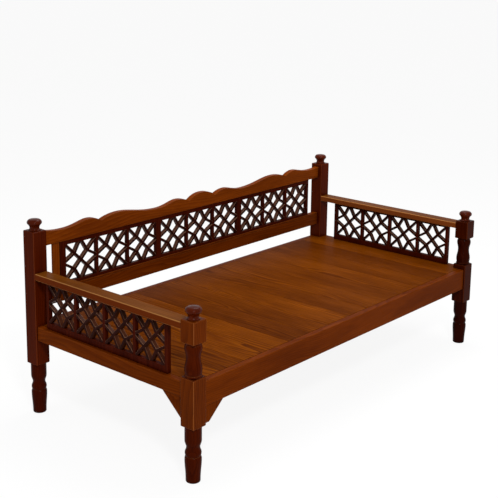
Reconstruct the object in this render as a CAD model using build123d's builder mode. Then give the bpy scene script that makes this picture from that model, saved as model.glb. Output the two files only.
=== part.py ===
from build123d import *
from math import atan2, degrees, hypot
import os

# A wooden daybed (takht): a plank seat on a tenoned frame, four posts with turned feet and
# knobs, lattice arms at both ends and a lattice back under a scalloped crest rail.
# Millimetres. Origin on the floor at the centre of the plan, +X along the seat to the right,
# +Y to the back, +Z up.

os.makedirs("parts", exist_ok=True)

# ---------------------------------------------------------------- driving dimensions
post_spacing_x = 2000.0      # between post axes, along the seat
post_spacing_y = 930.0       # between post axes, front to back
post_size = 70.0             # square section of the posts
post_edge_radius = 4.0
block_end_chamfer = 3.0
seat_height = 402.0
block_drop = 176.0           # of the square blocks' lower ends, where the feet start, below the seat
lower_block_rise = 24.0      # front posts: square up to here above the seat, then turned
upper_block_drop = 78.0      # and square again from here below the arm rails' top

rail_thickness = 30.0        # boards of the seat frame
rail_setback = 8.0           # of their outer faces behind the post faces
long_rail_height = 102.0
side_rail_height = 62.0
rail_edge_chamfer = 2.0

plank_count = 14
plank_thickness = 20.0
plank_gap = 0.3
plank_edge_chamfer = 0.8

bearer_width = 30.0
bearer_height = 60.0
bearer_spacing = 320.0       # between the two long bearers
joist_spacing = 500.0        # between the three cross joists
ledger_depth = 20.0
ledger_height = 25.0

arm_height = 640.0
post_over_arm = 13.0         # front posts stand above the arm rails
arm_rail_width = 66.0
arm_rail_height = 28.0
arm_rail_radius = 5.0

back_board_thickness = 26.0
crest_bottom = 744.0
post_over_crest = 76.0       # back posts stand above the crest's lower edge
back_rail_bottom = 476.0
back_rail_height = 67.0
back_bead = 2.0              # groove that draws a line under the top edge of the back bottom rail
back_bead_drop = 9.0

back_slit_left = 55.0        # open slit between the left post and the plain slat
back_slit_right = 84.0       # and between the right panel and its post
arm_slit_front_left = 93.0   # open slit in front of the left arm's panel
arm_slit_front_right = 55.0
arm_slits_together = 136.0   # of the slits before and behind one arm panel
back_upper_member = 20.0     # heights of the level members of the lattice frames
back_lower_member = 13.0
arm_upper_member = 14.0
arm_lower_member = 28.0
lattice_stile = 15.0         # width of the upright ones
lattice_wide_stile = 31.0    # of the first one, beside the plain slat
lattice_frame_depth = 20.0
back_divider = 12.0          # thin uprights between the squares
arm_divider = 14.0
lattice_bar = 12.0
lattice_bar_depth = 18.0
star_reach = 0.42            # where the star bars meet the diagonals, from centre 0 to corner 1
slat_width = 36.0            # plain slat beside the left back panel
slat_thickness = 14.0

tenon_thickness = 14.0
tenon_length = 28.0
arm_tenon_length = 22.0      # stops short of the finials' spigots
tenon_shoulder = 10.0        # step of a tenon below its board's edge
small_tenon_length = 18.0    # of bearers and joists
small_tenon_thickness = 12.0
bearer_tenon_height = 30.0
crest_tenon_height = 32.0
hole_spare = 1.0             # free depth at the end of a mortise or a drilled hole
peg_radius = 4.0
peg_length = 58.0
peg_inset = 12.0             # of a peg's axis from the post face that the rail meets
peg_rise = 22.0
fit_gap = 0.15               # glue line all round a tenon, a bar or a dowel

finial_radius = 32.0
finial_height = 50.0
finial_foot_radius = 26.0
finial_foot_height = 3.0
finial_neck_radius = 21.0
finial_neck_rise = 12.0      # of the narrowest place above the post
finial_throat_radius = 29.0
finial_throat_drop = 23.0    # drops are below the top of the knob
finial_widest_drop = 17.0
finial_shoulder_radius = 28.0
finial_shoulder_drop = 7.0
finial_cap_radius = 19.0
finial_cap_drop = 2.0
spigot_radius = 10.0
spigot_length = 28.0

foot_radius = 33.5           # of the bulb and of the flare under the block
foot_sole_radius = 25.0
foot_ankle_radius = 29.0     # above the rounded sole, and in the groove
foot_bead_radius = 32.5
foot_bead_end_radius = 29.0
foot_neck_radius = 27.0
foot_sole_height = 8.0       # heights above the floor
foot_bulb = 88.0
foot_groove = 106.0
foot_bead = 120.0
foot_bead_end = 132.0
foot_neck = 144.0
foot_flare = 172.0           # the flare is a plain round rim from here to the block
turning_bite = 5.0           # a turning runs on this far into its block

ring_radius = 34.5           # ring at the bottom of a front post's vase
ring_root_radius = 31.5
ring_height = 9.0
vase_radius = 34.0
vase_rise = 36.0             # of its widest place above the lower block
vase_neck_radius = 28.0
vase_neck_drop = 60.0        # drops of the vase are below the upper block
collar_radius = 34.0         # round collar between the vase and the upper block
collar_drop = 26.0
collar_end_radius = 31.0
collar_end_drop = 8.0
dowel_radius = 3.0
dowel_length = 22.0
bracket_reach = 108.0        # along the rail
bracket_drop = 96.0          # down the post
bracket_thickness = 22.0
screw_radius = 2.0
screw_head_radius = 4.0
screw_head_height = 3.0
screw_length = 34.0
plank_screw_length = 32.0
plank_screw_offset = 35.0
bracket_screw_cover = 12.0
bracket_screw_length = 32.0
arm_dowel_inset = 4.0        # arm dowels stand outwards of the panel's middle, over the side rail

# Half of the crest's top edge: humps meet in two cusps and run smoothly into each other
# through two valleys. The inner points are placed from the middle, the outer ones from the
# post, and rises are above the crest's lower edge.
crest_pattern_shift = 20.0   # of the pattern's middle to the right of the board's
crest_peak_rise = 73.0
cusp_inner_x = 92.0
cusp_inner_rise = 44.0
hump_inner_x = 176.0
hump_inner_rise = 64.0
valley_inner_x = 303.0
valley_inner_rise = 44.0
hump_wide_inset = 411.0
hump_wide_rise = 72.0
cusp_outer_inset = 308.0
cusp_outer_rise = 52.0
hump_outer_inset = 250.0
hump_outer_rise = 73.0
valley_outer_inset = 95.0
valley_outer_rise = 54.0
crest_end_rise = 70.0

# ---------------------------------------------------------------- worked-out places
half_x = post_spacing_x / 2
half_y = post_spacing_y / 2
half_post = post_size / 2
inner_x = half_x - half_post          # post faces that look at each other
inner_y = half_y - half_post
rail_line_y = half_y + half_post - rail_setback - rail_thickness / 2
rail_line_x = half_x + half_post - rail_setback - rail_thickness / 2
bay_x = rail_line_x - rail_thickness / 2      # inside faces of the seat frame
bay_y = rail_line_y - rail_thickness / 2
block_bottom = seat_height - block_drop
lower_block_top = seat_height + lower_block_rise
upper_block_bottom = arm_height - upper_block_drop
long_rail_bottom = seat_height - long_rail_height
side_rail_bottom = seat_height - side_rail_height
long_rail_middle = seat_height - long_rail_height / 2
side_rail_middle = seat_height - side_rail_height / 2
plank_underside = seat_height - plank_thickness
plank_pitch = 2 * bay_x / plank_count
arm_rail_bottom = arm_height - arm_rail_height
front_post_top = arm_height + post_over_arm
back_post_top = crest_bottom + post_over_crest
back_rail_top = back_rail_bottom + back_rail_height
arm_rail_middle = arm_height - arm_rail_height / 2
back_rail_middle = (back_rail_bottom + back_rail_top) / 2
joist_xs = [-joist_spacing, 0, joist_spacing]
bearer_ys = [-bearer_spacing / 2, bearer_spacing / 2]
bearer_middle = plank_underside - bearer_height / 2
bearer_tenon_middle = side_rail_bottom + tenon_shoulder + bearer_tenon_height / 2
crest_tenon_middle = crest_bottom + tenon_shoulder + crest_tenon_height / 2
arm_tenon_width = arm_rail_width / 2
arm_tenon_height = arm_rail_height / 2
arm_dowel_x = half_x + arm_dowel_inset
bracket_bite = bracket_screw_length - bracket_screw_cover
bracket_rail_screw = bracket_reach - 2 * bracket_screw_cover
bracket_post_screw = bracket_drop / 2

# The lattice panels fill what the slits and the slat leave open between the posts.
slat_left = -inner_x + back_slit_left
slat_right = slat_left + slat_width
back_panels_start = slat_right + fit_gap + lattice_wide_stile - lattice_stile
back_panels_width = inner_x - back_slit_right - back_panels_start
back_panel_width = (back_panels_width - 2 * fit_gap) / 3
back_square = (back_panel_width - 2 * lattice_stile - 2 * back_divider) / 3
back_panel_centres = [
    back_panels_start + back_panel_width / 2 + index * (back_panel_width + fit_gap)
    for index in range(3)
]
arm_panel_length = 2 * inner_y - arm_slits_together
arm_panel_middles = {
    -1: -inner_y + arm_slit_front_left + arm_panel_length / 2,
    1: -inner_y + arm_slit_front_right + arm_panel_length / 2,
}
arm_square = (arm_panel_length - 2 * lattice_stile - 3 * arm_divider) / 4
arm_dowel_offset = arm_square + arm_divider + arm_square / 3
dowel_bite = dowel_length / 2         # of a dowel in the board and in the panel's frame
corners = {
    "front_left": (-1, -1),
    "front_right": (1, -1),
    "back_left": (-1, 1),
    "back_right": (1, 1),
}


def facing_x(x, y, z, side):
    """Plane square to X whose normal looks along side * X, sketch x along Y."""
    return Plane(origin=(x, y, z), x_dir=(0, 1, 0), z_dir=(side, 0, 0))


def facing_y(x, y, z, side):
    """Plane square to Y whose normal looks along side * Y, sketch x along X."""
    return Plane(origin=(x, y, z), x_dir=(1, 0, 0), z_dir=(0, side, 0))


def up(x, y, z):
    """Plane at a height, looking up."""
    return Plane(origin=(x, y, z))


def down(x, y, z):
    """Plane at a height, looking down."""
    return Plane(origin=(x, y, z), x_dir=(1, 0, 0), z_dir=(0, 0, -1))


def sink(face, width, height, depth):
    """Cuts a rectangular mortise into the part being built, from a plane on its face."""
    with BuildSketch(face) as mouth:
        Rectangle(width, height)
    extrude(mouth.sketch, amount=-depth, mode=Mode.SUBTRACT)


def bore(planes, radius, depth):
    """Drills round holes into the part being built, one from each plane."""
    with BuildSketch(*planes) as mouths:
        Circle(radius)
    extrude(mouths.sketch, amount=-depth, mode=Mode.SUBTRACT)


def long_rail_peg_plane(side_x, side_y):
    """Mouth of the peg hole that locks a front or back rail, in the post's inner Y face."""
    return facing_y(
        side_x * (inner_x + peg_inset), side_y * inner_y, long_rail_middle + peg_rise, -side_y
    )


def side_rail_peg_plane(side_x, side_y):
    """Mouth of the peg hole that locks a side rail, in the post's inner X face."""
    return facing_x(
        side_x * inner_x, side_y * (inner_y + peg_inset), side_rail_middle - peg_rise, -side_x
    )


def back_peg_planes(side_x):
    """Mouths of the peg holes of the crest and the back bottom rail, in the post's back face."""
    x = side_x * (inner_x + peg_inset)
    return [
        facing_y(x, half_y + half_post, crest_tenon_middle, 1),
        facing_y(x, half_y + half_post, back_rail_middle, 1),
    ]


def arm_dowel_ys(side_x):
    """Where the dowels of the left or right arm's panel stand."""
    return [arm_panel_middles[side_x] + side * arm_dowel_offset for side in (-1, 1)]


def bracket_rail_mouths():
    """Where the bracket screws enter the front rail and the left side rail, from below."""
    return [
        down(-inner_x + bracket_rail_screw, -rail_line_y, long_rail_bottom),
        down(-rail_line_x, -inner_y + bracket_rail_screw, side_rail_bottom),
    ]


def bracket_post_mouths():
    """Where the bracket screws enter the front left post, in its two inner faces."""
    return [
        facing_x(-inner_x, -rail_line_y, long_rail_bottom - bracket_post_screw, 1),
        facing_y(-rail_line_x, -inner_y, side_rail_bottom - bracket_post_screw, 1),
    ]


# ---------------------------------------------------------------- turned outlines
def turned_foot_outline():
    """Foot from the block down to the floor: cove, bead, groove, bulb and long taper."""
    with BuildLine() as outline:
        Line((0, 0), (foot_sole_radius, 0))
        Spline(
            (foot_sole_radius, 0), (foot_ankle_radius, foot_sole_height),
            tangents=[(1, 0), (0, 1)],
        )
        Spline(
            (foot_ankle_radius, foot_sole_height), (foot_radius, foot_bulb),
            (foot_ankle_radius, foot_groove),
            tangents=[(0, 1), (-0.9, 0.6)],
        )
        ThreePointArc(
            (foot_ankle_radius, foot_groove),
            (foot_bead_radius, foot_bead),
            (foot_bead_end_radius, foot_bead_end),
        )
        Spline(
            (foot_bead_end_radius, foot_bead_end), (foot_neck_radius, foot_neck),
            (foot_radius, foot_flare),
            tangents=[(-0.4, 1), (0, 1)],
        )
        Polyline(
            (foot_radius, foot_flare), (foot_radius, block_bottom + turning_bite),
            (0, block_bottom + turning_bite), (0, 0),
        )
    return outline.line


def turned_middle_outline():
    """Vase between the blocks of a front post, with a collar above and a ring below."""
    low = lower_block_top
    high = upper_block_bottom
    with BuildLine() as outline:
        Polyline((0, low - turning_bite), (ring_root_radius, low - turning_bite), (ring_root_radius, low))
        ThreePointArc(
            (ring_root_radius, low),
            (ring_radius, low + ring_height / 2),
            (ring_root_radius, low + ring_height),
        )
        Spline(
            (ring_root_radius, low + ring_height), (vase_radius, low + vase_rise),
            (vase_neck_radius, high - vase_neck_drop),
            tangents=[(0.3, 1), (0, 1)],
        )
        Spline(
            (vase_neck_radius, high - vase_neck_drop), (collar_radius, high - collar_drop),
            (collar_end_radius, high - collar_end_drop),
            tangents=[(0, 1), (-0.8, 1)],
        )
        Polyline(
            (collar_end_radius, high - collar_end_drop), (collar_end_radius, high + turning_bite),
            (0, high + turning_bite), (0, low - turning_bite),
        )
    return outline.line


def finial_outline():
    """Flattened knob on a tapering neck."""
    with BuildLine() as outline:
        Polyline((0, 0), (finial_foot_radius, 0), (finial_foot_radius, finial_foot_height))
        Spline(
            (finial_foot_radius, finial_foot_height), (finial_neck_radius, finial_neck_rise),
            (finial_throat_radius, finial_height - finial_throat_drop),
            (finial_radius, finial_height - finial_widest_drop),
            tangents=[(-1, 0.5), (0.2, 1)],
        )
        Spline(
            (finial_radius, finial_height - finial_widest_drop),
            (finial_shoulder_radius, finial_height - finial_shoulder_drop),
            (finial_cap_radius, finial_height - finial_cap_drop),
            tangents=[(0, 1), (-1, 0.15)],
        )
        Spline(
            (finial_cap_radius, finial_height - finial_cap_drop), (0, finial_height),
            tangents=[(-1, 0.15), (-1, 0)],
        )
        Line((0, finial_height), (0, 0))
    return outline.line


# ---------------------------------------------------------------- posts and finials
for corner, (side_x, side_y) in corners.items():
    post_x = side_x * half_x
    post_y = side_y * half_y
    is_front = side_y < 0
    post_top = front_post_top if is_front else back_post_top
    blocks = [(block_bottom, back_post_top)]
    if is_front:
        blocks = [(block_bottom, lower_block_top), (upper_block_bottom, front_post_top)]
    turning_plane = facing_y(post_x, post_y, 0, -1)
    turning_axis = Axis((post_x, post_y, 0), (0, 0, 1))

    with BuildPart() as post:
        for low, high in blocks:
            with BuildSketch(up(post_x, post_y, low)):
                RectangleRounded(post_size, post_size, post_edge_radius)
            extrude(amount=high - low)
        block_ends = post.faces().filter_by(Plane.XY)
        chamfer(block_ends.edges(), length=block_end_chamfer)
        with BuildSketch(turning_plane):
            add(turned_foot_outline())
            make_face()
        revolve(axis=turning_axis)
        if is_front:
            with BuildSketch(turning_plane):
                add(turned_middle_outline())
                make_face()
            revolve(axis=turning_axis)

        sink(
            facing_x(side_x * inner_x, side_y * rail_line_y, long_rail_middle, -side_x),
            tenon_thickness + 2 * fit_gap,
            long_rail_height - 2 * tenon_shoulder + 2 * fit_gap,
            tenon_length + hole_spare,
        )
        sink(
            facing_y(side_x * rail_line_x, side_y * inner_y, side_rail_middle, -side_y),
            tenon_thickness + 2 * fit_gap,
            side_rail_height - 2 * tenon_shoulder + 2 * fit_gap,
            tenon_length + hole_spare,
        )
        sink(
            facing_y(post_x, side_y * inner_y, arm_rail_middle, -side_y),
            arm_tenon_width + 2 * fit_gap,
            arm_tenon_height + 2 * fit_gap,
            arm_tenon_length + hole_spare,
        )
        peg_planes = [long_rail_peg_plane(side_x, side_y), side_rail_peg_plane(side_x, side_y)]
        if not is_front:
            sink(
                facing_x(side_x * inner_x, half_y, crest_tenon_middle, -side_x),
                tenon_thickness + 2 * fit_gap,
                crest_tenon_height + 2 * fit_gap,
                tenon_length + hole_spare,
            )
            sink(
                facing_x(side_x * inner_x, half_y, back_rail_middle, -side_x),
                tenon_thickness + 2 * fit_gap,
                back_rail_height - 2 * tenon_shoulder + 2 * fit_gap,
                tenon_length + hole_spare,
            )
            peg_planes += back_peg_planes(side_x)
        bore(peg_planes, peg_radius + fit_gap, peg_length + hole_spare)
        bore([up(post_x, post_y, post_top)], spigot_radius + fit_gap, spigot_length + hole_spare)

        if corner == "front_left":
            bore(bracket_post_mouths(), screw_radius + fit_gap, bracket_bite + hole_spare)
    post.part.label = f"post_{corner}"
    export_step(post.part, f"parts/post_{corner}.step")

    with BuildPart() as finial:
        with BuildSketch(facing_y(post_x, post_y, post_top, -1)):
            add(finial_outline())
            make_face()
        revolve(axis=turning_axis)
        with BuildSketch(up(post_x, post_y, post_top)):
            Circle(spigot_radius)
        extrude(amount=-spigot_length)
    finial.part.label = f"finial_{corner}"
    export_step(finial.part, f"parts/finial_{corner}.step")


# ---------------------------------------------------------------- screws of the ledgers and planks
def clear_of_joists(x):
    """True where a screw at x misses every cross joist."""
    return all(abs(x - joist) > bearer_width for joist in joist_xs)


ledger_screw_xs = [-bay_x + plank_pitch * joint for joint in range(1, plank_count)]
ledger_screw_xs = [x for x in ledger_screw_xs if clear_of_joists(x)]
plank_centres = [-bay_x + plank_pitch * (index + 0.5) for index in range(plank_count)]
plank_screw_xs = []
for centre in plank_centres:
    inward = plank_screw_offset if centre < 0 else -plank_screw_offset
    beside = (centre + inward, centre - inward)
    plank_screw_xs.append(next((x for x in beside if clear_of_joists(x)), centre))
ledger_middle = plank_underside - ledger_height / 2
ledger_line_y = bay_y - ledger_depth / 2


def ledger_screw_planes(side_y):
    """Seats of the ledger screws' heads, on the inner face of one ledger."""
    return [facing_y(x, side_y * (bay_y - ledger_depth), ledger_middle, -side_y) for x in ledger_screw_xs]


def plank_screw_planes(side_y):
    """Seats of the plank screws' heads, under one ledger, looking down."""
    low = plank_underside - ledger_height
    return [down(x, side_y * ledger_line_y, low) for x in plank_screw_xs]


# ---------------------------------------------------------------- seat frame
for rail_name, side_y in (("front_rail", -1), ("back_rail", 1)):
    across = facing_x(0, side_y * rail_line_y, long_rail_middle, 1)
    with BuildPart() as rail:
        with BuildSketch(across):
            Rectangle(rail_thickness, long_rail_height)
        extrude(amount=inner_x, both=True)
        chamfer(rail.edges().filter_by(Axis.X), length=rail_edge_chamfer)
        with BuildSketch(across):
            Rectangle(tenon_thickness, long_rail_height - 2 * tenon_shoulder)
        extrude(amount=inner_x + tenon_length, both=True)
        for joist in joist_xs:
            sink(
                facing_y(joist, side_y * bay_y, bearer_middle, -side_y),
                small_tenon_thickness + 2 * fit_gap,
                bearer_tenon_height + 2 * fit_gap,
                small_tenon_length + hole_spare,
            )
        bore(
            [long_rail_peg_plane(-1, side_y), long_rail_peg_plane(1, side_y)],
            peg_radius + fit_gap,
            peg_length + hole_spare,
        )
        bore(ledger_screw_planes(side_y), screw_radius + fit_gap, screw_length + hole_spare)
        if side_y < 0:
            bore(bracket_rail_mouths()[:1], screw_radius + fit_gap, bracket_bite + hole_spare)
    rail.part.label = rail_name
    export_step(rail.part, f"parts/{rail_name}.step")

for rail_name, side_x in (("side_rail_left", -1), ("side_rail_right", 1)):
    across = facing_y(side_x * rail_line_x, 0, side_rail_middle, 1)
    with BuildPart() as rail:
        with BuildSketch(across):
            Rectangle(rail_thickness, side_rail_height)
        extrude(amount=inner_y, both=True)
        chamfer(rail.edges().filter_by(Axis.Y), length=rail_edge_chamfer)
        with BuildSketch(across):
            Rectangle(tenon_thickness, side_rail_height - 2 * tenon_shoulder)
        extrude(amount=inner_y + tenon_length, both=True)
        for bearer in bearer_ys:
            sink(
                facing_x(side_x * bay_x, bearer, bearer_tenon_middle, -side_x),
                small_tenon_thickness + 2 * fit_gap,
                bearer_tenon_height + 2 * fit_gap,
                small_tenon_length + hole_spare,
            )
        bore(
            [side_rail_peg_plane(side_x, -1), side_rail_peg_plane(side_x, 1)],
            peg_radius + fit_gap,
            peg_length + hole_spare,
        )
        if side_x < 0:
            bore(bracket_rail_mouths()[1:], screw_radius + fit_gap, bracket_bite + hole_spare)
        bore([up(side_x * arm_dowel_x, y, seat_height) for y in arm_dowel_ys(side_x)],
             dowel_radius + fit_gap, dowel_bite + hole_spare)
    rail.part.label = rail_name
    export_step(rail.part, f"parts/{rail_name}.step")

# Long bearers lie in notches of the joists: each is cut away from below over half its height.
for bearer_name, bearer_y in (("bearer_front", bearer_ys[0]), ("bearer_back", bearer_ys[1])):
    with BuildPart() as bearer:
        with BuildSketch(facing_x(0, bearer_y, bearer_middle, 1)):
            Rectangle(bearer_width, bearer_height)
        extrude(amount=bay_x - fit_gap, both=True)
        with BuildSketch(facing_x(0, bearer_y, bearer_tenon_middle, 1)):
            Rectangle(small_tenon_thickness, bearer_tenon_height)
        extrude(amount=bay_x + small_tenon_length, both=True)
        for joist in joist_xs:
            sink(
                down(joist, bearer_y, bearer_middle - bearer_height / 2),
                bearer_width + 2 * fit_gap,
                bearer_width + 2 * hole_spare,
                bearer_height / 2 + fit_gap,
            )
    bearer.part.label = bearer_name
    export_step(bearer.part, f"parts/{bearer_name}.step")

for joist_name, joist_x in zip(("joist_left", "joist_middle", "joist_right"), joist_xs):
    across = facing_y(joist_x, 0, bearer_middle, 1)
    with BuildPart() as joist:
        with BuildSketch(across):
            Rectangle(bearer_width, bearer_height)
        extrude(amount=bay_y - fit_gap, both=True)
        with BuildSketch(across):
            Rectangle(small_tenon_thickness, bearer_tenon_height)
        extrude(amount=bay_y + small_tenon_length, both=True)
        for bearer_y in bearer_ys:
            sink(
                up(joist_x, bearer_y, plank_underside),
                bearer_width + 2 * hole_spare,
                bearer_width + 2 * fit_gap,
                bearer_height / 2,
            )
    joist.part.label = joist_name
    export_step(joist.part, f"parts/{joist_name}.step")

# Ledgers: strips between the joists that carry the plank ends.
half_joist = bearer_width / 2 + fit_gap
ledger_starts = [-inner_x + fit_gap] + [x + half_joist for x in joist_xs]
ledger_ends = [x - half_joist for x in joist_xs] + [inner_x - fit_gap]
for ledger_name, side_y in (("ledger_front", -1), ("ledger_back", 1)):
    with BuildPart() as ledger:
        for start, end in zip(ledger_starts, ledger_ends):
            with BuildSketch(facing_x(start, side_y * ledger_line_y, ledger_middle, 1)):
                Rectangle(ledger_depth, ledger_height)
            extrude(amount=end - start)
        bore(ledger_screw_planes(side_y), screw_radius + fit_gap, ledger_depth)
        bore(plank_screw_planes(side_y), screw_radius + fit_gap, ledger_height)
    ledger.part.label = ledger_name
    export_step(ledger.part, f"parts/{ledger_name}.step")

# ---------------------------------------------------------------- seat planks
for index, plank_x in enumerate(plank_centres):
    with BuildPart() as plank:
        with BuildSketch(up(plank_x, 0, plank_underside)):
            Rectangle(plank_pitch - plank_gap, 2 * (bay_y - fit_gap))
        extrude(amount=plank_thickness)
        top_edges = plank.edges().filter_by(Axis.Y).group_by(Axis.Z)[-1]
        chamfer(top_edges, length=plank_edge_chamfer)
        if index in (0, plank_count - 1):
            for side_y in (-1, 1):
                post_x = half_x if plank_x > 0 else -half_x
                with BuildSketch(up(post_x, side_y * half_y, plank_underside)):
                    Rectangle(post_size + plank_gap, post_size + plank_gap)
                extrude(amount=plank_thickness, mode=Mode.SUBTRACT)
        screw_mouths = [
            down(plank_screw_xs[index], side_y * ledger_line_y, plank_underside)
            for side_y in (-1, 1)
        ]
        bore(screw_mouths, screw_radius + fit_gap, plank_screw_length - ledger_height + hole_spare)
    plank.part.label = f"plank_{index + 1:02d}"
    export_step(plank.part, f"parts/plank_{index + 1:02d}.step")

# ---------------------------------------------------------------- lattice panels
def motif(half_width, half_height):
    """One lattice square: a whole rising diagonal, two falling halves and four V pieces."""
    angle = degrees(atan2(half_height, half_width))
    reach = 2 * hypot(half_width, half_height)
    inner_width = 2 * (half_width - fit_gap)
    inner_height = 2 * (half_height - fit_gap)
    with BuildSketch() as rising:
        Rectangle(reach, lattice_bar, rotation=angle)
        Rectangle(inner_width, inner_height, mode=Mode.INTERSECT)
    with BuildSketch() as falling:
        Rectangle(reach, lattice_bar, rotation=-angle)
        Rectangle(inner_width, inner_height, mode=Mode.INTERSECT)
        Rectangle(reach, lattice_bar + 2 * fit_gap, rotation=angle, mode=Mode.SUBTRACT)
    with BuildSketch() as star:
        for side_u, side_v in ((1, 0), (0, 1), (-1, 0), (0, -1)):
            middle_u = side_u * (half_width + lattice_bar)
            middle_v = side_v * (half_height + lattice_bar)
            for turn in (-1, 1):
                meet_u = star_reach * half_width * (side_u if side_u else turn)
                meet_v = star_reach * half_height * (side_v if side_v else turn)
                run_u = meet_u - middle_u
                run_v = meet_v - middle_v
                with Locations(((meet_u + middle_u) / 2, (meet_v + middle_v) / 2)):
                    Rectangle(
                        hypot(run_u, run_v), lattice_bar, rotation=degrees(atan2(run_v, run_u))
                    )
        Rectangle(inner_width, inner_height, mode=Mode.INTERSECT)
        Rectangle(reach, lattice_bar + 2 * fit_gap, rotation=angle, mode=Mode.SUBTRACT)
        Rectangle(reach, lattice_bar + 2 * fit_gap, rotation=-angle, mode=Mode.SUBTRACT)
    return [rising.sketch, falling.sketch, star.sketch]


def lattice_panel(place_word, middle_plane, square, count, divider, height, upper, lower,
                  dowel_offset, dowel_inset=0.0, first_stile=lattice_stile):
    """Frame and bars of one panel of squares around its middle plane, each in its own node.

    upper and lower are the heights of the frame's level members, first_stile the width of its
    left upright.
    """
    frame_name = place_word.replace("_", "_frame_")
    lattice_name = place_word.replace("_", "_lattice_")
    open_height = height - upper - lower
    open_middle = (lower - upper) / 2
    squares = [(index - (count - 1) / 2) * (square + divider) for index in range(count)]
    dividers = [(left + right) / 2 for left, right in zip(squares, squares[1:])]
    inner = count * square + (count - 1) * divider
    front = middle_plane.offset(lattice_frame_depth / 2)
    bar_front = middle_plane.offset(lattice_bar_depth / 2)

    with BuildPart() as frame:
        with BuildSketch(front):
            for member, side in ((upper, 1), (lower, -1)):
                with Locations(((lattice_stile - first_stile) / 2, side * (height - member) / 2)):
                    Rectangle(inner + first_stile + lattice_stile, member)
            for stile, side in ((first_stile, -1), (lattice_stile, 1)):
                with Locations((side * (inner + stile) / 2, open_middle)):
                    Rectangle(stile, open_height - 2 * fit_gap)
        extrude(amount=-lattice_frame_depth)
        with BuildSketch(bar_front):
            with Locations(*[(place, open_middle) for place in dividers]):
                Rectangle(divider, open_height - 2 * fit_gap)
        extrude(amount=-lattice_bar_depth)
        for place in (-dowel_offset, dowel_offset):
            for side in (-1, 1):
                mouth = Plane(
                    origin=middle_plane.from_local_coords(Vector(place, side * height / 2, dowel_inset)),
                    x_dir=middle_plane.x_dir,
                    z_dir=(0, 0, side),
                )
                bore([mouth], dowel_radius + fit_gap, dowel_bite + hole_spare)
    frame.part.label = frame_name
    export_step(frame.part, f"parts/{frame_name}.step")

    pieces = motif(square / 2, open_height / 2)
    with BuildPart() as lattice:
        with BuildSketch(bar_front):
            with Locations(*[(place, open_middle) for place in squares]):
                for piece in pieces:
                    add(piece)
        extrude(amount=-lattice_bar_depth)
    lattice.part.label = lattice_name
    export_step(lattice.part, f"parts/{lattice_name}.step")


back_lattice_height = crest_bottom - back_rail_top - 2 * fit_gap
back_lattice_middle = (crest_bottom + back_rail_top) / 2
back_dowel_offset = (back_square + back_divider) / 2 + back_square / 3
for side_word, centre in zip(("left", "middle", "right"), back_panel_centres):
    lattice_panel(
        f"back_{side_word}",
        facing_y(centre, half_y, back_lattice_middle, -1),
        back_square,
        3,
        back_divider,
        back_lattice_height,
        back_upper_member,
        back_lower_member,
        back_dowel_offset,
        first_stile=lattice_wide_stile if side_word == "left" else lattice_stile,
    )

arm_lattice_height = arm_rail_bottom - seat_height - 2 * fit_gap
arm_lattice_middle = (arm_rail_bottom + seat_height) / 2
for side_word, side_x in (("left", -1), ("right", 1)):
    lattice_panel(
        f"arm_{side_word}",
        facing_x(side_x * half_x, arm_panel_middles[side_x], arm_lattice_middle, 1),
        arm_square,
        4,
        arm_divider,
        arm_lattice_height,
        arm_upper_member,
        arm_lower_member,
        arm_dowel_offset,
        dowel_inset=side_x * arm_dowel_inset,
    )


# ---------------------------------------------------------------- dowels of the panels
back_dowel_xs = [
    centre + side * back_dowel_offset for centre in back_panel_centres for side in (-1, 1)
]
upper_dowel_feet = [up(x, half_y, crest_bottom - dowel_bite) for x in back_dowel_xs]
lower_dowel_heads = [up(x, half_y, back_rail_top + dowel_bite) for x in back_dowel_xs]
for side_x in (-1, 1):
    for y in arm_dowel_ys(side_x):
        upper_dowel_feet.append(up(side_x * arm_dowel_x, y, arm_rail_bottom - dowel_bite))
        lower_dowel_heads.append(up(side_x * arm_dowel_x, y, seat_height + dowel_bite))

with BuildPart() as lattice_dowels:
    with BuildSketch(*upper_dowel_feet):
        Circle(dowel_radius)
    extrude(amount=dowel_length)
    with BuildSketch(*lower_dowel_heads):
        Circle(dowel_radius)
    extrude(amount=-dowel_length)
lattice_dowels.part.label = "lattice_dowels"
export_step(lattice_dowels.part, "parts/lattice_dowels.step")

# ---------------------------------------------------------------- back boards
cusp_inner = (cusp_inner_x, crest_bottom + cusp_inner_rise)
hump_inner = (hump_inner_x, crest_bottom + hump_inner_rise)
valley_inner = (valley_inner_x, crest_bottom + valley_inner_rise)
hump_wide = (inner_x - hump_wide_inset, crest_bottom + hump_wide_rise)
cusp_outer = (inner_x - cusp_outer_inset, crest_bottom + cusp_outer_rise)
hump_outer = (inner_x - hump_outer_inset, crest_bottom + hump_outer_rise)
valley_outer = (inner_x - valley_outer_inset, crest_bottom + valley_outer_rise)
crest_end = (inner_x + abs(crest_pattern_shift), crest_bottom + crest_end_rise)

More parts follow.
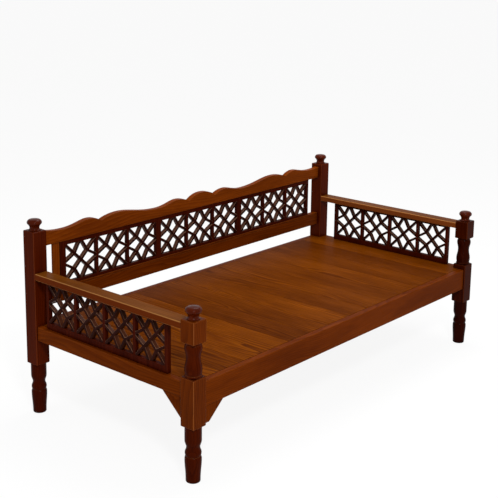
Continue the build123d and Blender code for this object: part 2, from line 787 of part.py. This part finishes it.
with BuildPart() as crest:
    with BuildSketch(facing_y(crest_pattern_shift, half_y - back_board_thickness / 2, 0, -1)):
        with BuildLine():
            Spline((0, crest_bottom + crest_peak_rise), cusp_inner, tangents=[(1, 0), (1, -0.75)])
            Spline(cusp_inner, hump_inner, valley_inner, tangents=[(1, 0.6), (1, 0)])
            Spline(valley_inner, hump_wide, cusp_outer, tangents=[(1, 0), (1, -0.45)])
            Spline(cusp_outer, hump_outer, valley_outer, tangents=[(1, 0.75), (1, 0)])
            Spline(valley_outer, crest_end, tangents=[(1, 0), (1, 0.35)])
            Line(crest_end, (crest_end[0], crest_bottom))
            Line((crest_end[0], crest_bottom), (0, crest_bottom))
            mirror(about=Plane.YZ)
        make_face()
        with Locations((-crest_pattern_shift, crest_bottom)):
            Rectangle(2 * inner_x, 4 * crest_end_rise, mode=Mode.INTERSECT)
    extrude(amount=-back_board_thickness)
    with BuildSketch(facing_x(0, half_y, crest_tenon_middle, 1)):
        Rectangle(tenon_thickness, crest_tenon_height)
    extrude(amount=inner_x + tenon_length, both=True)
    bore([back_peg_planes(side)[0] for side in (-1, 1)], peg_radius + fit_gap, peg_length + hole_spare)
    bore([down(x, half_y, crest_bottom) for x in back_dowel_xs],
         dowel_radius + fit_gap, dowel_bite + hole_spare)
crest.part.label = "crest_rail"
export_step(crest.part, "parts/crest_rail.step")

with BuildPart() as bottom_rail:
    with BuildSketch(facing_x(0, half_y, back_rail_middle, 1)):
        Rectangle(back_board_thickness, back_rail_height)
        groove_v = (back_rail_height) / 2 - back_bead_drop
        with Locations((-back_board_thickness / 2, groove_v)):
            Rectangle(2 * back_bead, back_bead, mode=Mode.SUBTRACT)
    extrude(amount=inner_x, both=True)
    with BuildSketch(facing_x(0, half_y, back_rail_middle, 1)):
        Rectangle(tenon_thickness, back_rail_height - 2 * tenon_shoulder)
    extrude(amount=inner_x + tenon_length, both=True)
    bore([back_peg_planes(side)[1] for side in (-1, 1)], peg_radius + fit_gap, peg_length + hole_spare)
    bore([up(x, half_y, back_rail_top) for x in back_dowel_xs],
         dowel_radius + fit_gap, dowel_bite + hole_spare)
bottom_rail.part.label = "back_bottom_rail"
export_step(bottom_rail.part, "parts/back_bottom_rail.step")

with BuildPart() as slat:
    with BuildSketch(up((slat_left + slat_right) / 2, half_y, back_rail_top + fit_gap)):
        Rectangle(slat_width, slat_thickness)
    extrude(amount=back_lattice_height)
    chamfer(slat.edges().filter_by(Axis.Z), length=rail_edge_chamfer)
slat.part.label = "back_slat"
export_step(slat.part, "parts/back_slat.step")

# ---------------------------------------------------------------- arm top rails
for side_word, side_x in (("left", -1), ("right", 1)):
    across = facing_y(side_x * half_x, 0, arm_rail_middle, 1)
    with BuildPart() as arm_rail:
        with BuildSketch(across):
            Rectangle(arm_rail_width, arm_rail_height)
        extrude(amount=inner_y, both=True)
        arm_edges = arm_rail.edges().filter_by(Axis.Y)
        fillet(arm_edges.group_by(Axis.Z)[-1], radius=arm_rail_radius)
        chamfer(arm_edges.group_by(Axis.Z)[0], length=rail_edge_chamfer)
        with BuildSketch(across):
            Rectangle(arm_tenon_width, arm_tenon_height)
        extrude(amount=inner_y + arm_tenon_length, both=True)
        bore([down(side_x * arm_dowel_x, y, arm_rail_bottom) for y in arm_dowel_ys(side_x)],
             dowel_radius + fit_gap, dowel_bite + hole_spare)
    arm_rail.part.label = f"arm_rail_{side_word}"
    export_step(arm_rail.part, f"parts/arm_rail_{side_word}.step")


# ---------------------------------------------------------------- brackets, pegs and screws
bracket_corners = [(0, 0), (bracket_reach, 0), (0, -bracket_drop)]
bracket_planes = {
    "bracket_front": Plane(
        origin=(-inner_x + fit_gap, -rail_line_y, long_rail_bottom - fit_gap),
        x_dir=(1, 0, 0),
        z_dir=(0, -1, 0),
    ),
    "bracket_side": Plane(
        origin=(-rail_line_x, -inner_y + fit_gap, side_rail_bottom - fit_gap),
        x_dir=(0, 1, 0),
        z_dir=(1, 0, 0),
    ),
}
for index, (bracket_name, bracket_plane) in enumerate(bracket_planes.items()):
    mouths = [bracket_rail_mouths()[index], bracket_post_mouths()[index]]
    with BuildPart() as bracket:
        with BuildSketch(bracket_plane):
            with BuildLine():
                Polyline(*bracket_corners, close=True)
            make_face()
        extrude(amount=bracket_thickness / 2, both=True)
        split(bisect_by=up(0, 0, block_bottom + block_end_chamfer), keep=Keep.TOP)
        for mouth in mouths:
            open_side = mouth.offset(bracket_reach)
            bore([open_side], screw_radius + fit_gap, bracket_reach)
            bore([open_side], screw_head_radius + fit_gap, bracket_reach - bracket_screw_cover)
    bracket.part.label = bracket_name
    export_step(bracket.part, f"parts/{bracket_name}.step")

with BuildPart() as tenon_pegs:
    peg_mouths = []
    for side_x, side_y in corners.values():
        peg_mouths += [long_rail_peg_plane(side_x, side_y), side_rail_peg_plane(side_x, side_y)]
    peg_mouths += back_peg_planes(-1) + back_peg_planes(1)
    with BuildSketch(*peg_mouths):
        Circle(peg_radius)
    extrude(amount=-peg_length)
tenon_pegs.part.label = "tenon_pegs"
export_step(tenon_pegs.part, "parts/tenon_pegs.step")

screw_sets = {
    "ledger_screws": (ledger_screw_planes(-1) + ledger_screw_planes(1), screw_length),
    "plank_screws": (plank_screw_planes(-1) + plank_screw_planes(1), plank_screw_length),
    "bracket_screws": (
        [mouth.offset(bracket_screw_cover) for mouth in bracket_rail_mouths() + bracket_post_mouths()],
        bracket_screw_length,
    ),
}
for screws_name, (seats, length) in screw_sets.items():
    with BuildPart() as screws:
        with BuildSketch(*seats):
            Circle(screw_radius)
        extrude(amount=-length)
        with BuildSketch(*seats):
            Circle(screw_head_radius)
        extrude(amount=screw_head_height)
    screws.part.label = screws_name
    export_step(screws.part, f"parts/{screws_name}.step")
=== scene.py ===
from math import radians

import bpy
from mathutils import Euler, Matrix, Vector


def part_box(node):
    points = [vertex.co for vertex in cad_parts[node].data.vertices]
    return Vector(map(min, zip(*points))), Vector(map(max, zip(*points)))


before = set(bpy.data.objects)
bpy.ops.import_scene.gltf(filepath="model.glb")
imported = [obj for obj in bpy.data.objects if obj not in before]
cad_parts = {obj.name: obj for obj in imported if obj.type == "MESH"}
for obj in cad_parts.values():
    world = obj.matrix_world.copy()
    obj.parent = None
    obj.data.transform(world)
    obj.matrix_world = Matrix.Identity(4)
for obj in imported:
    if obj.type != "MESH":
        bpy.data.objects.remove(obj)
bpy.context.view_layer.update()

# ---------------------------------------------------------------- sizes taken from the frame
PLANK_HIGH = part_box("plank_01")[1]
PLANK_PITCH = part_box("plank_02")[1].x - PLANK_HIGH.x
SEAT_LEFT = PLANK_HIGH.x - PLANK_PITCH
CORNERS = ("front_left", "front_right", "back_left", "back_right")
PLANKS = sorted(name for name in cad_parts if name.startswith("plank_") and name[-1].isdigit())
LATTICES = [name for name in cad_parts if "_lattice_" in name]
LATTICE_FRAMES = [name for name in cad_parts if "_frame_" in name]

# The turned lengths of the posts lie below the square blocks and, at the front, between them.
SEAT_TOP = PLANK_HIGH.z
ARM_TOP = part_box("arm_rail_left")[1].z
BLOCK_DROP = 0.176                   # of the blocks' lower ends below the seat
LOWER_BLOCK_RISE = 0.024             # of the front blocks' tops above it
UPPER_BLOCK_DROP = 0.078             # of the upper blocks' lower ends below the arm rails' top
FOOT_RANGE = (0.0, SEAT_TOP - BLOCK_DROP)
VASE_RANGE = (SEAT_TOP + LOWER_BLOCK_RISE, ARM_TOP - UPPER_BLOCK_DROP)


# ---------------------------------------------------------------- node helpers
def tone(red, green, blue):
    """A display colour in 0 to 255 as the linear colour that the shaders take."""
    def linear(value):
        value /= 255
        return value / 12.92 if value <= 0.04045 else ((value + 0.055) / 1.055) ** 2.4
    return (linear(red), linear(green), linear(blue), 1.0)


def add_node(tree, kind, inputs=None, **settings):
    """A shader node with its settings, whose inputs are values or other nodes' outputs."""
    made = tree.nodes.new(kind)
    for key, value in settings.items():
        setattr(made, key, value)
    for key, value in (inputs or {}).items():
        if isinstance(value, bpy.types.NodeSocket):
            tree.links.new(value, made.inputs[key])
        else:
            made.inputs[key].default_value = value
    return made


def math(tree, operation, first, second=0.0, clamp=False):
    """A math node's output."""
    made = add_node(tree, "ShaderNodeMath", {0: first, 1: second}, operation=operation)
    made.use_clamp = clamp
    return made.outputs[0]


def vectors(tree, operation, first, second):
    """A vector math node."""
    return add_node(tree, "ShaderNodeVectorMath", {0: first, 1: second}, operation=operation)


def part_of(tree, vector, axis):
    """One coordinate of a vector."""
    return add_node(tree, "ShaderNodeSeparateXYZ", {0: vector}).outputs[axis]


def mapped(tree, vector, **changes):
    """A vector moved, turned or stretched."""
    return add_node(tree, "ShaderNodeMapping", {"Vector": vector, **changes}).outputs["Vector"]


def noise(tree, vector, detail, roughness):
    """A noise pattern with one wave in each unit of the vector."""
    inputs = {"Vector": vector, "Scale": 1.0, "Detail": detail, "Roughness": roughness}
    return add_node(tree, "ShaderNodeTexNoise", inputs)


def blend(tree, mode, amount, under, over):
    """The colour of one layer laid over another."""
    made = add_node(tree, "ShaderNodeMix", data_type="RGBA", blend_type=mode)
    for socket, value in ((0, amount), (6, under), (7, over)):
        if isinstance(value, bpy.types.NodeSocket):
            tree.links.new(value, made.inputs[socket])
        else:
            made.inputs[socket].default_value = value
    return made.outputs[2]


def ramp(tree, factor, stops):
    """Colours along a factor, as (position, colour) pairs."""
    made = add_node(tree, "ShaderNodeValToRGB", {"Fac": factor})
    elements = made.color_ramp.elements
    while len(elements) < len(stops):
        elements.new(1.0)
    for element, (position, colour) in zip(elements, stops):
        element.position = position
        element.color = colour
    return made.outputs["Color"]


def spread(tree, value, low, high, new_low=0.0, new_high=1.0):
    """A value mapped from one range to another, and clamped."""
    made = add_node(
        tree,
        "ShaderNodeMapRange",
        {"Value": value, "From Min": low, "From Max": high, "To Min": new_low, "To Max": new_high},
    )
    return made.outputs["Result"]


def empty_tree(owner):
    """The node tree of a new material or world, with nothing in it."""
    owner.use_nodes = True
    owner.node_tree.nodes.clear()
    return owner.node_tree


# ---------------------------------------------------------------- growth of the wood
# Scales are per metre, along the fibres first.
GRAIN_TURN = {
    "X": (0.0, 0.0, 0.0),
    "Y": (0.0, 0.0, radians(90)),
    "Z": (0.0, radians(90), 0.0),
}
WANDER_SCALE = (0.9, 5.0, 5.0)
WANDER_REACH = (0.0, 0.16, 0.16)
LOG_CENTRE = (0.0, 0.11, -0.05)      # of the rings, beside the board
LOG_TILT = (0.0, radians(2.5), radians(1.5))
LOG_STRETCH = (0.12, 1.0, 1.0)
RING_SCALE = 34.0
FIBRE_SCALE = (6.0, 190.0, 190.0)
CLOUD_SCALE = (1.6, 9.0, 9.0)
KNOT_SCALE = (2.1, 4.4, 4.4)
PLANK_SHIFT = (7.0, 3.0, 2.0)        # how far apart the planks lie in the pattern
WHITE = tone(255, 255, 255)
FIBRE_SHADE = tone(196, 190, 184)
CLOUD_SHADE = tone(205, 196, 190)
PLANK_SHADE = tone(212, 204, 196)
KNOT_HEART = tone(40, 14, 4)


def grain_coordinates(tree, place, along, board_shift):
    """Object coordinates turned so that the fibres run along the first axis."""
    turned = mapped(tree, place, Rotation=GRAIN_TURN[along])
    return vectors(tree, "ADD", turned, board_shift).outputs[0]


def plank_number(tree, place):
    """A different random colour and value for each plank, from its place across the seat."""
    steps = math(tree, "DIVIDE", math(tree, "SUBTRACT", part_of(tree, place, "X"), SEAT_LEFT), PLANK_PITCH)
    number = math(tree, "FLOOR", steps)
    return add_node(tree, "ShaderNodeTexWhiteNoise", {"W": number}, noise_dimensions="1D").outputs


def growth(tree, grain):
    """Rings that open into long arches, fine fibres that follow them, and slow clouds."""
    wander = noise(tree, mapped(tree, grain, Scale=WANDER_SCALE), 2.0, 0.5).outputs["Color"]
    bent = vectors(
        tree, "ADD", grain, vectors(tree, "MULTIPLY", wander, WANDER_REACH).outputs[0]).outputs[0]
    log = mapped(tree, bent, Location=LOG_CENTRE, Rotation=LOG_TILT, Scale=LOG_STRETCH)
    rings = add_node(
        tree,
        "ShaderNodeTexWave",
        {"Vector": log, "Scale": RING_SCALE, "Distortion": 1.2, "Detail": 2.0, "Detail Scale": 1.5},
        wave_type="RINGS",
        rings_direction="X",
        wave_profile="SAW",
    ).outputs["Fac"]
    fibres = noise(tree, mapped(tree, bent, Scale=FIBRE_SCALE), 3.0, 0.6).outputs["Fac"]
    clouds = noise(tree, mapped(tree, grain, Scale=CLOUD_SCALE), 3.0, 0.55).outputs["Fac"]
    return rings, fibres, clouds


def with_knots(tree, colour, grain, share, ring_tone):
    """Knots in a share of the cells of a coarse pattern, each with a dark heart."""
    cells = add_node(
        tree,
        "ShaderNodeTexVoronoi",
        {"Vector": mapped(tree, grain, Scale=KNOT_SCALE), "Scale": 1.0, "Randomness": 1.0},
    ).outputs
    pick = add_node(tree, "ShaderNodeSeparateColor", {0: cells["Color"]}).outputs[0]
    chosen = math(tree, "LESS_THAN", pick, share)
    around = math(tree, "MULTIPLY", spread(tree, cells["Distance"], 0.19, 0.05), chosen)
    heart = math(tree, "MULTIPLY", spread(tree, cells["Distance"], 0.075, 0.045), chosen)
    colour = blend(tree, "MIX", math(tree, "MULTIPLY", around, 0.55), colour, ring_tone)
    return blend(tree, "MIX", math(tree, "MULTIPLY", heart, 0.8), colour, KNOT_HEART)


# ---------------------------------------------------------------- painted shade, painted highlights and turnings
EDGE_RADIUS = 0.003                  # of the rounding that finds the edges for the painted highlights and softens the shading
PAINTED_SHADE_REACH = 0.035                  # how far the painted shade reaches out of a corner
# Tone of the painted shade in corners and recesses.
PAINTED_CORNER_SHADE = tone(150, 110, 90)
TURNING_BLUR = 0.003                 # soft end of the shade on a turned length
CORNER_HIGHLIGHT = 0.3                    # strength of the painted highlight down a block's corners
FIBRE_DEPTH = 0.0006


def with_turnings(tree, colour, place, normal, ranges, shade, edge_tone):
    """A darker tone on the turned lengths, and a painted highlight down the corners of the blocks."""
    height = part_of(tree, place, "Z")
    across = math(
        tree,
        "MINIMUM",
        math(tree, "ABSOLUTE", part_of(tree, normal, "X")),
        math(tree, "ABSOLUTE", part_of(tree, normal, "Y")),
    )
    painted_corner_highlight = spread(tree, across, 0.25, 0.55, 0.0, CORNER_HIGHLIGHT)
    for low, high in ranges:
        above = spread(tree, height, low - TURNING_BLUR, low)
        below = spread(tree, height, high + TURNING_BLUR, high)
        inside = math(tree, "MULTIPLY", above, below)
        colour = blend(tree, "MULTIPLY", inside, colour, shade)
        painted_corner_highlight = math(tree, "SUBTRACT", painted_corner_highlight, inside, clamp=True)
    return blend(tree, "MIX", painted_corner_highlight, colour, edge_tone)


def with_painted_sides(tree, colour, normal, axis, painted_side_tone):
    """A painted tone for light and shade on the faces that don't look along an axis, and the roundings
    between both for painted highlights.
    """
    size = math(tree, "ABSOLUTE", part_of(tree, normal, axis))
    sideways = spread(tree, size, 0.9, 0.5)
    colour = blend(tree, "MIX", math(tree, "MULTIPLY", sideways, 0.8), colour, painted_side_tone)
    rounding = math(tree, "MULTIPLY", spread(tree, size, 0.35, 0.6), spread(tree, size, 0.98, 0.9))
    return colour, rounding


def wood(name, tones, along, shift=(0.0, 0.0, 0.0), per_plank=False, knots=0.0,
         roughness=0.34, shine=0.03, edge_highlight=0.35, streaks=0.25, painted_sides=None, turned=None):
    """Stained and varnished softwood: growth rings, fibres, knots, painted shade in corners and painted
    highlights on edges.

    Painted sides are an axis and a tone: faces that don't look along that axis take the tone, as
    painted light and shade. Turned is a list of height ranges and the tone that darkens them."""
    dark, middle, light, edge_tone = tones
    material = bpy.data.materials.new(name)
    tree = empty_tree(material)
    place = add_node(tree, "ShaderNodeTexCoord").outputs["Object"]

    board_shift = shift
    if per_plank:
        random_of_plank = plank_number(tree, place)
        board_shift = vectors(tree, "MULTIPLY", random_of_plank["Color"], PLANK_SHIFT).outputs[0]
    grain = grain_coordinates(tree, place, along, board_shift)
    rings, fibres, clouds = growth(tree, grain)

    colour = ramp(tree, rings, [(0.0, light), (0.62, middle), (0.93, dark), (1.0, middle)])
    colour = blend(tree, "MIX", streaks, middle, colour)
    fibre_shade = ramp(tree, fibres, [(0.30, FIBRE_SHADE), (0.62, WHITE)])
    colour = blend(tree, "MULTIPLY", min(1.0, 0.3 + streaks), colour, fibre_shade)
    cloud_shade = ramp(tree, clouds, [(0.30, CLOUD_SHADE), (0.70, WHITE)])
    colour = blend(tree, "MULTIPLY", 1.0, colour, cloud_shade)
    if per_plank:
        plank_shade = ramp(tree, random_of_plank["Value"], [(0.0, PLANK_SHADE), (1.0, WHITE)])
        colour = blend(tree, "MULTIPLY", 1.0, colour, plank_shade)
    if knots:
        colour = with_knots(tree, colour, grain, knots, dark)

    # Painted shade darkens the corners and recesses, and painted highlights lighten the edges.
    soft_normal = add_node(tree, "ShaderNodeBevel", {"Radius": EDGE_RADIUS}, samples=6).outputs[0]
    true_normal = add_node(tree, "ShaderNodeNewGeometry").outputs["Normal"]
    agree = vectors(tree, "DOT_PRODUCT", soft_normal, true_normal).outputs["Value"]
    turned_away = spread(tree, agree, 0.995, 0.80)
    open_sky = add_node(
        tree, "ShaderNodeAmbientOcclusion", {"Distance": PAINTED_SHADE_REACH}, samples=6).outputs["AO"]
    edge = math(tree, "MULTIPLY", turned_away, spread(tree, open_sky, 0.45, 0.8))
    if turned:
        colour = with_turnings(tree, colour, place, true_normal, *turned, edge_tone)
    # Painted light and shade on the sides of the bars and arm rails, and painted highlights on their upper
    # edges and roundings.
    if painted_sides:
        colour, rounding = with_painted_sides(tree, colour, true_normal, *painted_sides)
        upward = spread(tree, part_of(tree, soft_normal, "Z"), 0.2, 0.7)
        edge = math(tree, "MAXIMUM", math(tree, "MULTIPLY", turned_away, upward), rounding)
    # Painted highlights along the edges.
    colour = blend(tree, "MIX", math(tree, "MULTIPLY", edge, edge_highlight), colour, edge_tone)
    # Painted shade in the corners and recesses.
    colour = blend(tree, "MULTIPLY", spread(tree, open_sky, 0.75, 0.2), colour, PAINTED_CORNER_SHADE)

    relief = math(tree, "ADD", math(tree, "MULTIPLY", fibres, 0.6), math(tree, "MULTIPLY", rings, 0.25))
    bump = add_node(
        tree,
        "ShaderNodeBump",
        {"Height": relief, "Strength": 0.10, "Distance": FIBRE_DEPTH, "Normal": soft_normal},
    ).outputs[0]
    rub = math(tree, "ADD", math(tree, "MULTIPLY", clouds, 0.6), math(tree, "MULTIPLY", fibres, 0.4))
    gloss = spread(tree, rub, 0.3, 0.7, roughness + 0.07, roughness - 0.05)
    surface = add_node(
        tree,
        "ShaderNodeBsdfPrincipled",
        {"Base Color": colour, "Roughness": gloss, "Normal": bump, "Specular IOR Level": shine},
    )
    add_node(tree, "ShaderNodeOutputMaterial", {"Surface": surface.outputs[0]})
    return material


def steel(name):
    """Plain zinc-plated screws."""
    material = bpy.data.materials.new(name)
    tree = empty_tree(material)
    place = add_node(tree, "ShaderNodeTexCoord").outputs["Object"]
    specks = add_node(
        tree, "ShaderNodeTexNoise", {"Vector": place, "Scale": 900.0, "Detail": 3.0}).outputs["Fac"]
    colour = ramp(tree, specks, [(0.3, tone(150, 148, 142)), (0.7, tone(196, 194, 188))])
    gloss = spread(tree, specks, 0.3, 0.7, 0.32, 0.5)
    surface = add_node(
        tree, "ShaderNodeBsdfPrincipled", {"Base Color": colour, "Roughness": gloss, "Metallic": 1.0})
    add_node(tree, "ShaderNodeOutputMaterial", {"Surface": surface.outputs[0]})
    return material


# ---------------------------------------------------------------- finishes of the pieces
# Each set: dark, middle and light wood, and the tone of its painted edge highlights.
SEAT_TONES = (tone(60, 19, 0), tone(117, 56, 1), tone(142, 76, 5), tone(128, 68, 14))
FRAME_TONES = (tone(58, 16, 0), tone(101, 41, 1), tone(126, 60, 8), tone(156, 92, 46))
CREST_TONES = (tone(74, 24, 0), tone(116, 50, 4), tone(142, 74, 16), tone(150, 100, 60))
NEAR_POST_TONES = (tone(54, 15, 0), tone(94, 37, 0), tone(118, 54, 6), tone(160, 98, 52))
DARK_TONES = (tone(38, 6, 0), tone(72, 19, 0), tone(94, 32, 4), tone(120, 60, 34))
SHADED_POST_TONES = (tone(26, 3, 0), tone(52, 12, 0), tone(70, 21, 2), tone(104, 50, 26))
PANEL_TONES = (tone(34, 5, 0), tone(62, 15, 3), tone(84, 28, 8), tone(104, 46, 26))
# The arm rails take lighter tones than the frame, as painted light on their tops.
LIT_ARM_TONES = (tone(68, 29, 2), tone(106, 57, 12), tone(128, 76, 24), tone(186, 134, 78))
BAR_TONES = (tone(24, 6, 2), tone(42, 12, 6), tone(58, 20, 10), tone(196, 150, 120))
INNER_TONES = (tone(112, 66, 32), tone(158, 104, 60), tone(184, 132, 84), tone(196, 150, 104))
# Sides of the arm rails: the left one painted darker as shade, the right one painted lighter as light.
ARM_SIDE_LIGHT_AND_SHADE = {"left": tone(84, 28, 4), "right": tone(112, 54, 20)}
# Painted light on the flanks of the lattice bars.
BACK_BAR_LIT_SIDE = tone(84, 54, 42)
ARM_BAR_LIT_SIDE = tone(60, 29, 15)
# The front-right and back posts take darker copies of the post wood than the front-left post, as painted
# shade.
POST_TONES = {
    "front_left": NEAR_POST_TONES,
    "front_right": SHADED_POST_TONES,
    "back_left": DARK_TONES,
    "back_right": DARK_TONES,
}
NEAR_TURNED_SHADE = tone(184, 150, 130)
TURNED_SHADE = tone(205, 190, 180)
BOARD_SHINE = 0.008


def dress(material, *names):
    """Gives CAD nodes their material."""
    for name in names:
        node_object = bpy.data.objects[name]
        node_object.data.materials.clear()
        node_object.data.materials.append(material)


def dress_seat():
    """Planks with streaks and knots, each cut from another place of the wood."""
    planks = wood("seat_planks", SEAT_TONES, "Y", per_plank=True, knots=0.30, roughness=0.45,
                  shine=0.006, edge_highlight=0.0, streaks=0.6)
    dress(planks, *PLANKS)


def dress_posts():
    """Posts with darker turned lengths, and glossy knobs."""
    for index, corner in enumerate(CORNERS):
        shift = (index * 1.7, index * 0.31, 0.07)
        ranges = [FOOT_RANGE, VASE_RANGE] if corner.startswith("front") else [FOOT_RANGE]
        shade = NEAR_TURNED_SHADE if corner == "front_left" else TURNED_SHADE
        post = wood(f"post_wood_{corner}", POST_TONES[corner], "Z", shift=shift, roughness=0.16,
                    shine=0.014, edge_highlight=0.5, turned=(ranges, shade))
        dress(post, f"post_{corner}")
        knob = wood(f"knob_wood_{corner}", DARK_TONES, "Z", shift=shift, roughness=0.16, shine=0.05)
        dress(knob, f"finial_{corner}")


def dress_boards():
    """Rails of the seat frame, the back and the arms, the slat and the brackets."""
    for index, (board, tones) in enumerate((
        ("front_rail", FRAME_TONES),
        ("back_rail", FRAME_TONES),
        ("crest_rail", CREST_TONES),
        ("back_bottom_rail", FRAME_TONES),
    )):
        shift = (index * 2.3, 0.2, index * 0.17)
        dress(wood(f"board_{board}", tones, "X", shift=shift, shine=BOARD_SHINE), board)
    for index, side in enumerate(("left", "right")):
        shift = (index * 1.9, index * 0.23, 0.1)
        side_rail = wood(f"side_rail_wood_{side}", FRAME_TONES, "Y", shift=shift, shine=BOARD_SHINE)
        dress(side_rail, f"side_rail_{side}")
        # Arm rails: painted light on the tops, painted light and shade on the sides.
        arm_rail = wood(f"arm_rail_wood_{side}", LIT_ARM_TONES, "Y", shift=shift, shine=BOARD_SHINE,
                        edge_highlight=0.45, painted_sides=("Z", ARM_SIDE_LIGHT_AND_SHADE[side]))
        dress(arm_rail, f"arm_rail_{side}")
    dress(wood("upright_slat", CREST_TONES, "Z", shift=(0.4, 0.1, 0.3), shine=BOARD_SHINE), "back_slat")
    # The brackets take the near post's darker tones, as painted shade.
    brackets = wood("corner_brackets", NEAR_POST_TONES, "Z", shift=(0.9, 0.3, 0.2), shine=BOARD_SHINE)
    dress(brackets, "bracket_front", "bracket_side")


def dress_lattices():
    """Dark bars with flanks painted paler as light, in dark frames."""
    for place_word, axis, lit_side in (("back", "Y", BACK_BAR_LIT_SIDE), ("arm", "X", ARM_BAR_LIT_SIDE)):
        bars = wood(f"{place_word}_bars", BAR_TONES, "Z", roughness=0.3, shine=0.02, edge_highlight=0.7,
                    painted_sides=(axis, lit_side))
        dress(bars, *[name for name in LATTICES if name.startswith(place_word)])
    frames = wood("lattice_frames", PANEL_TONES, "Z", shift=(0.2, 0.6, 0.9), shine=0.01)
    dress(frames, *LATTICE_FRAMES)


def dress_inside():
    """Unstained wood and zinc screws under the seat and in the joints."""
    dress(wood("inner_cross_boards", INNER_TONES, "Y", roughness=0.5),
          "joist_left", "joist_middle", "joist_right")
    dress(wood("inner_long_boards", INNER_TONES, "X", roughness=0.5),
          "bearer_front", "bearer_back", "ledger_front", "ledger_back")
    dress(wood("pegs_and_dowels", INNER_TONES, "Y", roughness=0.5), "tenon_pegs", "lattice_dowels")
    dress(steel("zinc_screws"), "ledger_screws", "plank_screws", "bracket_screws")


dress_seat()
dress_posts()
dress_boards()
dress_lattices()
dress_inside()

# ---------------------------------------------------------------- floor, backdrop and light
FLOOR_SIZE = 160.0
FLOOR_SHADOW = 0.10                  # share of the floor that takes light and shadow
FLOOR_GREY = (0.9, 0.9, 0.9, 1.0)
AMBIENT_STRENGTH = 0.55
PURE_WHITE = (1.0, 1.0, 1.0, 1.0)


def seen_directly(tree):
    """1 for what the camera sees, also in gloss and through glass."""
    path = add_node(tree, "ShaderNodeLightPath").outputs
    seen = math(tree, "MAXIMUM", path["Is Camera Ray"], path["Is Glossy Ray"])
    return math(tree, "MAXIMUM", seen, path["Is Transmission Ray"])


def pale_floor():
    """A wide floor that looks white and keeps a little of the shadow."""
    bpy.ops.mesh.primitive_plane_add(size=FLOOR_SIZE)
    floor = bpy.context.object
    floor.name = "floor"
    material = bpy.data.materials.new("pale_floor")
    tree = empty_tree(material)
    matte = add_node(tree, "ShaderNodeBsdfDiffuse", {"Color": FLOOR_GREY})
    glow = add_node(tree, "ShaderNodeEmission", {"Color": PURE_WHITE, "Strength": 1.0})
    share = math(tree, "MULTIPLY", seen_directly(tree), 1.0 - FLOOR_SHADOW)
    mixed = add_node(tree, "ShaderNodeMixShader", {0: share, 1: matte.outputs[0], 2: glow.outputs[0]})
    add_node(tree, "ShaderNodeOutputMaterial", {"Surface": mixed.outputs[0]})
    floor.data.materials.append(material)


def studio_world():
    """White backdrop for the camera, and softer light from all round."""
    world = bpy.data.worlds.new("studio")
    bpy.context.scene.world = world
    tree = empty_tree(world)
    ambient = add_node(tree, "ShaderNodeBackground", {"Color": PURE_WHITE, "Strength": AMBIENT_STRENGTH})
    backdrop = add_node(tree, "ShaderNodeBackground", {"Color": PURE_WHITE, "Strength": 1.0})
    mixed = add_node(
        tree,
        "ShaderNodeMixShader",
        {0: seen_directly(tree), 1: ambient.outputs[0], 2: backdrop.outputs[0]},
    )
    add_node(tree, "ShaderNodeOutputWorld", {"Surface": mixed.outputs[0]})


def lamp(name, place, aim, size, watts):
    """A soft square lamp at a place, turned to a point."""
    data = bpy.data.lights.new(name, "AREA")
    data.size = size
    data.energy = watts
    made = bpy.data.objects.new(name, data)
    bpy.context.collection.objects.link(made)
    made.location = place
    made.rotation_euler = (Vector(aim) - Vector(place)).to_track_quat("-Z", "Y").to_euler()


pale_floor()
studio_world()
lamp("key", (-3.8, -4.6, 5.4), (0.0, 0.0, 0.4), 1.0, 330)
lamp("glint", (-4.6, -3.9, 0.9), (-1.0, -0.4, 0.4), 0.35, 10)
lamp("overhead", (0.9, 0.2, 3.4), (0.7, 0.0, 0.4), 2.0, 70)

# ---------------------------------------------------------------- camera
IMAGE_PIXELS = 498
FOCAL_PIXELS = 1058.823
HORIZON_OFFSET_PIXELS = 74.0         # of the frame's middle below the lens axis
SENSOR_MM = 36.0
CAMERA_PLACE = (-3.690729, -3.04101, 1.997241)
CAMERA_YAW = 49.302                  # from +Y towards +X
CAMERA_PITCH = 12.098                # downwards
CAMERA_ROLL = 0.763

camera_data = bpy.data.cameras.new("camera")
camera_data.sensor_width = SENSOR_MM
camera_data.lens = SENSOR_MM * FOCAL_PIXELS / IMAGE_PIXELS
camera_data.shift_y = -HORIZON_OFFSET_PIXELS / IMAGE_PIXELS
camera = bpy.data.objects.new("camera", camera_data)
bpy.context.collection.objects.link(camera)
camera.location = CAMERA_PLACE
level = Euler((radians(90 - CAMERA_PITCH), 0.0, radians(-CAMERA_YAW)), "XYZ").to_matrix()
tilt = Euler((0.0, 0.0, radians(CAMERA_ROLL)), "XYZ").to_matrix()
camera.rotation_euler = (level @ tilt).to_euler()
bpy.context.scene.camera = camera
bpy.context.scene.view_settings.view_transform = "Standard"
